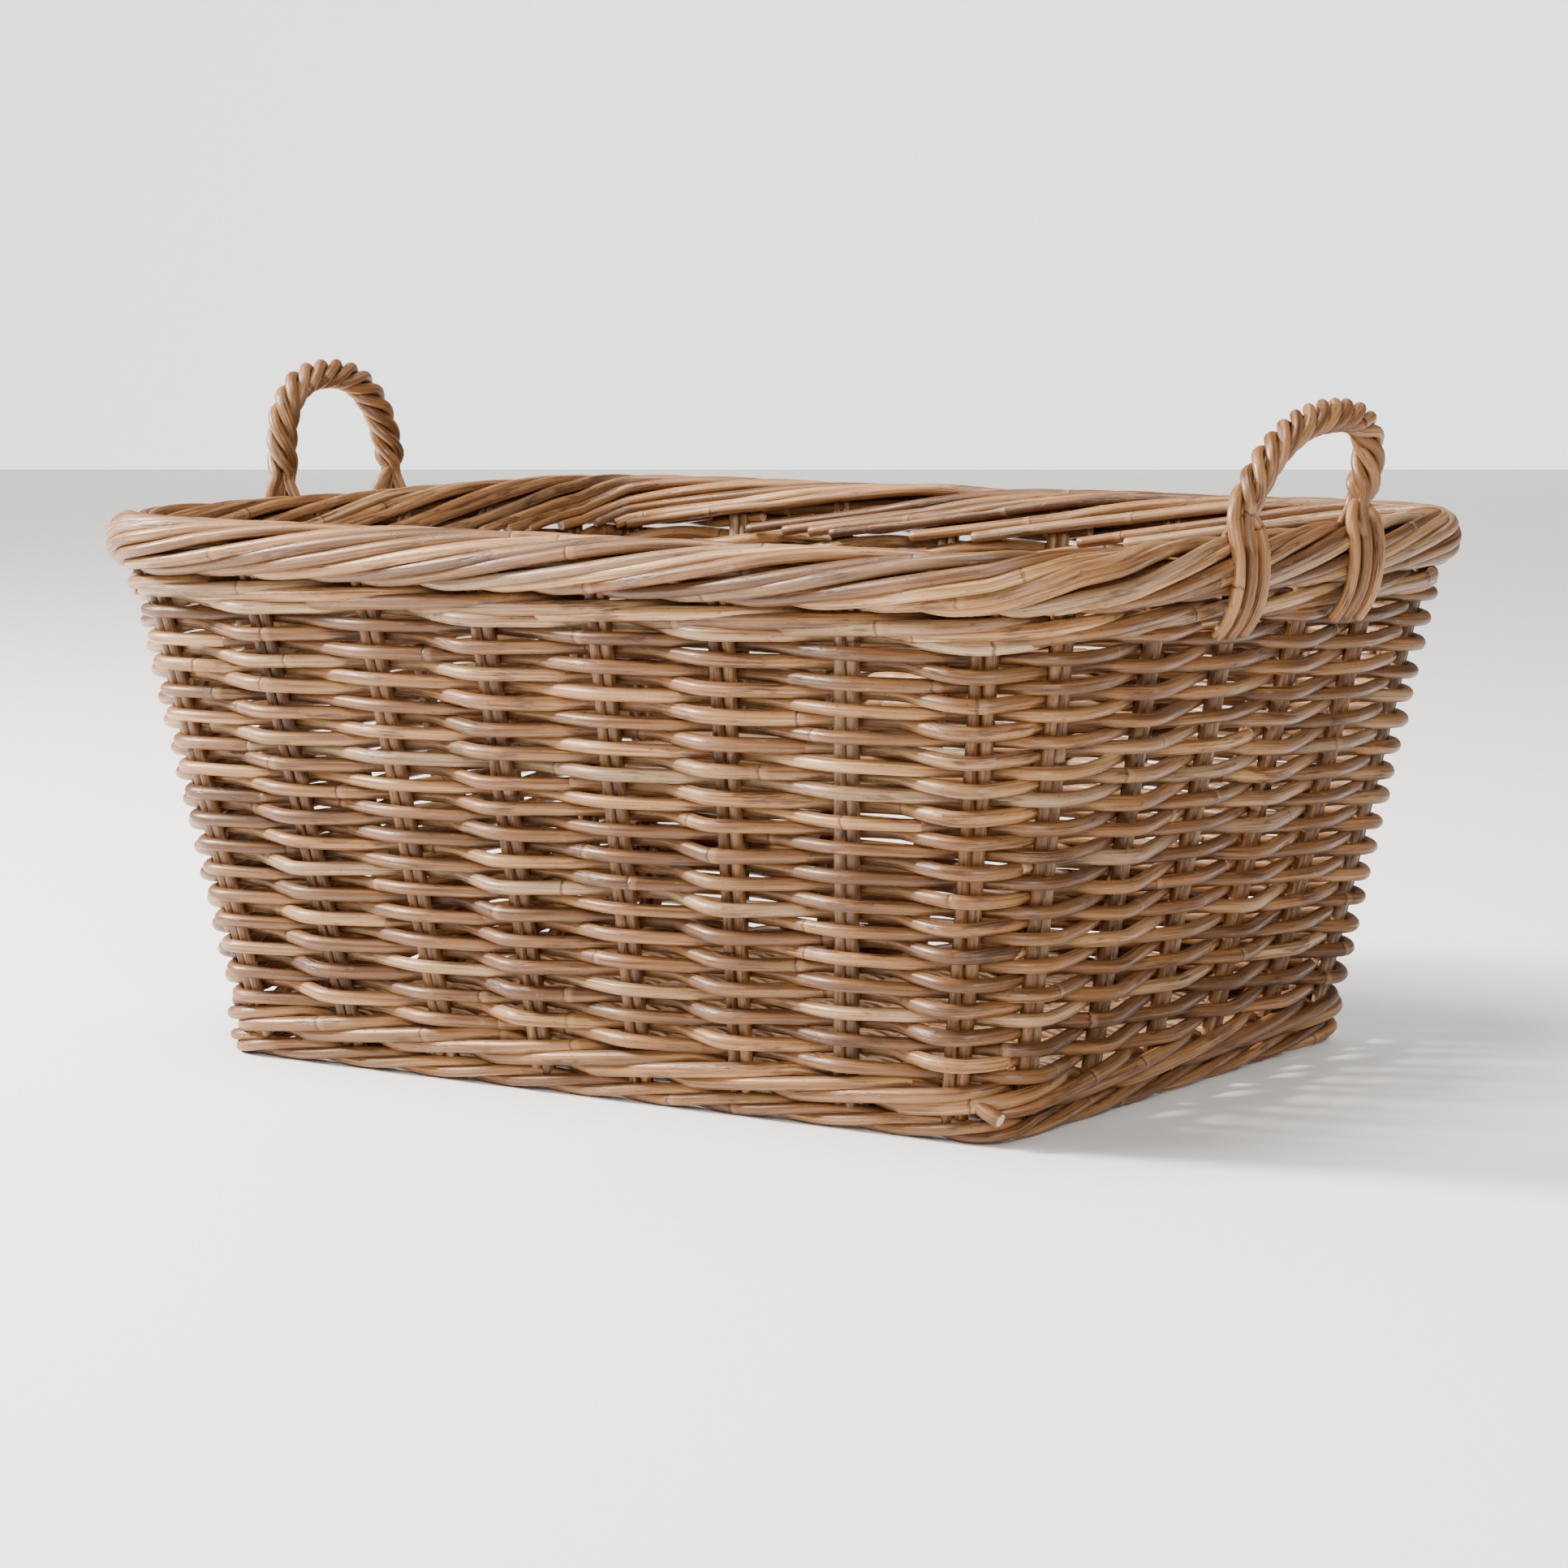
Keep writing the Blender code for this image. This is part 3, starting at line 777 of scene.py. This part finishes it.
def build_base():
    """Thin rods woven over and under one another, inside the foot."""
    bundle = Bundle("base_weave")
    low, high = box("base_panel")
    centre = (low[2] + high[2]) / 2
    low = low - BASE_REACH
    high = high + BASE_REACH
    warps = np.linspace(low[0] + WARP_INSET, high[0] - WARP_INSET, BASE_WARPS)
    for x in warps:
        reach = high[1] - corner_inset(abs(x), high[0])
        y = np.linspace(-reach, reach, 30)
        bundle.add(np.column_stack([x + 0 * y, y, centre + 0 * y]), WARP_RADIUS, sides=THIN_SIDES,
                   wander=0.0002, step=0.02)
    pitch = warps[1] - warps[0]
    for index, y in enumerate(np.arange(low[1] + 0.003, high[1] - 0.002, WEFT_PITCH)):
        reach = high[0] - corner_inset(abs(y), high[1])
        x = np.linspace(-reach, reach, 240)
        swing = WEFT_SWING * np.cos(math.pi * (x - warps[0]) / pitch + math.pi * (index % 2))
        bundle.add(np.column_stack([x, y + 0 * x, centre + swing]), WEFT_RADIUS, sides=THIN_SIDES,
                   wander=0.0002, step=0.007)
    bundle.build("base_rattan", ["base_panel"])


def build_bars():
    """Stout sticks across the underside of the base."""
    for index in range(BASE_BARS):
        name = f"base_stick_{index + 1}"
        low, high = box(name)
        middle = (low + high) / 2
        bundle = Bundle(f"base_bar_{index + 1}")
        y = np.linspace(low[1], high[1], 60)
        bundle.add(np.column_stack([middle[0] + 0 * y, y, middle[2] + 0 * y]),
                   (high[0] - low[0]) / 2 * 0.97, wander=0.0001)
        bundle.build("base_rattan", [name])


# ---------------------------------------------------------------- handles
def handle_shape(side_name):
    """Where a handle stands: its feet's y, its top's y and z."""
    points = np.concatenate([node_points(f"handle_{side_name}_rod_{letter}") for letter in "abc"])
    legs = points[points[:, 2] < LEGS_BELOW]
    feet = legs[legs[:, 1] < 0, 1].mean(), legs[legs[:, 1] > 0, 1].mean()
    top = points[points[:, 2] > points[:, 2].max() - BOW_TOP]
    return feet, top[:, 1].mean(), points[:, 2].max()


def handle_bow(feet, top_y, top_z, side):
    """The middle line of a handle's rope, from one foot to the other."""
    half = (feet[1] - feet[0]) / 2
    middle = (feet[1] + feet[0]) / 2
    centre_top = top_z - ROPE_RADIUS - HANDLE_RADIUS
    angle = np.linspace(0, math.pi, 401)
    lift = np.sin(angle) ** BOW_SQUARENESS
    sweep = np.sign(np.cos(angle)) * np.abs(np.cos(angle)) ** BOW_SQUARENESS
    bow = np.column_stack([
        side * (BOW_X + BOW_LEAN * lift),
        middle + (top_y - middle) * lift - half * sweep,
        BOW_Z + (centre_top - BOW_Z) * lift,
    ])
    return evenly(bow, BOW_POINTS)[0]


def handle_leg(bow_end, y, side, place):
    """A rod's way down from the bow's foot, outside the border or inside it."""
    leg = LEG_INSIDE if place == INSIDE_PLACE else LEG_OUTSIDE
    down = np.column_stack([side * (BOW_X + leg[:, 0]), y + 0 * leg[:, 0], BOW_Z + leg[:, 1]])
    return evenly(np.concatenate([[bow_end], down]), LEG_POINTS)[0]


def handle_rod(bow, feet, side, strand, quarters):
    """One rod of the rope, which makes so many quarter turns: up a leg, over the bow and down."""
    places = strand, (strand - quarters) % HANDLE_STRANDS
    legs = [handle_leg(bow[-end], feet[end], side, place) for end, place in enumerate(places)]
    line = soften(np.concatenate([legs[0][::-1][:-1], bow, legs[1][1:]]), 9)
    share = np.concatenate([
        np.linspace(-LEG_SHARE, 0, LEG_POINTS, endpoint=False),
        np.linspace(0, 1, BOW_POINTS),
        np.linspace(1, 1 + LEG_SHARE, LEG_POINTS + 1)[1:],
    ])
    share = np.interp(np.linspace(0, 1, len(line)), np.linspace(0, 1, len(share)), share)
    along = np.gradient(line, axis=0)
    along /= np.linalg.norm(along, axis=1)[:, None]
    across = np.tile([side * 1.0, 0, 0], (len(line), 1))
    across -= along * (across * along).sum(1)[:, None]
    across /= np.linalg.norm(across, axis=1)[:, None]
    third = np.cross(along, across)
    turned = math.pi / 2 * (strand - quarters * np.clip(share, 0, 1))
    roped = across * (ROPE_RADIUS * np.cos(turned))[:, None]
    roped = roped + third * (ROPE_RADIUS * np.sin(turned))[:, None]
    spread = np.where(share < 0.5, LEG_SIDES[places[0]], LEG_SIDES[places[1]])
    beside = spread[:, None] * np.array([LEG_FAN, side * LEG_SPACING, 0.0])
    below, length = ROPE_PARTS
    weight = ease((np.minimum(share, 1 - share) + below) / length)[:, None]
    return line + roped * weight + beside * (1 - weight)


def build_handle(side_name, side):
    """Four rods laid up as a rope over a core, each of which runs on into a leg at both ends."""
    feet, top_y, top_z = handle_shape(side_name)
    bundle = Bundle(f"handle_{side_name}")
    bow = handle_bow(feet, top_y, top_z, side)
    quarters = round(4 * run_along(bow)[-1] / HANDLE_LAY)
    for strand in range(HANDLE_STRANDS):
        bundle.add(handle_rod(bow, feet, side, strand, quarters), HANDLE_RADIUS, wander=0.0002, step=0.003)
    # The rope's core, dark as painted shade in the gaps between its four rods
    bundle.add(soften(bow, 5), CORE_RADIUS, tone=SHADE_CORE_TONE, wander=0.0)
    bundle.build("handle_rattan", [f"handle_{side_name}_rod_{letter}" for letter in "abc"])


# ---------------------------------------------------------------- studio
CAMERA_TURN = 33.2              # degrees round from straight in front; the wall faces the camera


def plain_material(name, colour, rough, glow=0.0):
    material = bpy.data.materials.new(name)
    material.use_nodes = True
    shader = material.node_tree.nodes["Principled BSDF"]
    shader.inputs["Base Color"].default_value = (*colour, 1.0)
    shader.inputs["Roughness"].default_value = rough
    if glow:
        shader.inputs["Emission Color"].default_value = (1.0, 1.0, 1.0, 1.0)
        shader.inputs["Emission Strength"].default_value = glow
    return material


def stage_card(name, corners, material, place=(0.0, 0.0, 0.0), turn=0.0):
    """A flat four-cornered piece of the studio."""
    mesh = bpy.data.meshes.new(name)
    mesh.from_pydata(corners, [], [(0, 1, 2, 3)])
    mesh.materials.append(material)
    card = bpy.data.objects.new(name, mesh)
    card.location = place
    card.rotation_euler = (0, 0, math.radians(turn))
    bpy.context.scene.collection.objects.link(card)
    return card


def build_room():
    """A wide pale floor, and a bright wall well behind the basket that puts no sheen on it."""
    half = 30.0
    stage_card("floor", [(-half, -half, 0), (half, -half, 0), (half, half, 0), (-half, half, 0)],
               plain_material("floor", (0.93, 0.93, 0.93), 0.8))
    half, tall = 14.0, 12.0
    backdrop = stage_card("backdrop", [(-half, 0, 0), (half, 0, 0), (half, 0, tall), (-half, 0, tall)],
                          plain_material("backdrop", (0.9, 0.9, 0.9), 0.9, glow=1.25),
                          place=(-3.3, 5.1, 0.0), turn=CAMERA_TURN)
    backdrop.visible_glossy = False


def area_light(name, place, target, size, power, colour):
    """A round lamp that faces its target."""
    light = bpy.data.lights.new(name, "AREA")
    light.shape = "DISK"
    light.size = size
    light.energy = power
    light.color = colour
    obj = bpy.data.objects.new(name, light)
    obj.location = place
    obj.rotation_euler = (Vector(target) - Vector(place)).to_track_quat("-Z", "Y").to_euler()
    bpy.context.scene.collection.objects.link(obj)


def build_light():
    """Soft daylight from the upper left, with a white room round it."""
    area_light("key", (-2.6, -1.15, 1.9), (0, 0, 0.15), 0.8, 410, (1.0, 0.95, 0.87))
    area_light("top", (-0.3, -0.6, 2.7), (0, 0.1, 0.2), 1.3, 92, (1.0, 0.975, 0.93))
    area_light("fill", (2.4, -2.6, 1.5), (0, 0, 0.15), 1.2, 104, (1.0, 0.96, 0.90))
    world = bpy.data.worlds.new("room")
    world.use_nodes = True
    background = world.node_tree.nodes["Background"]
    background.inputs["Color"].default_value = (1.0, 1.0, 1.0, 1.0)
    background.inputs["Strength"].default_value = 0.22
    bpy.context.scene.world = world


def build_camera():
    """From the front right, a little above the rim and looking slightly down."""
    camera = bpy.data.cameras.new("camera")
    camera.sensor_width = 36.0
    camera.lens = 106.6
    obj = bpy.data.objects.new("camera", camera)
    obj.location = (1.3997, -2.1423, 0.4562)
    obj.rotation_euler = (math.radians(83.1), 0.0, math.radians(CAMERA_TURN))
    bpy.context.scene.collection.objects.link(obj)
    bpy.context.scene.camera = obj


build_stakes()
build_courses()
wale("upsett_rods", "upsett_wale", UPSETT, LOOSE_END)
wale("top_wale_rods", "top_wale", TOP_WALE)
build_foot()
build_border()
build_base()
build_bars()
build_handle("right", 1)
build_handle("left", -1)
build_room()
build_light()
build_camera()
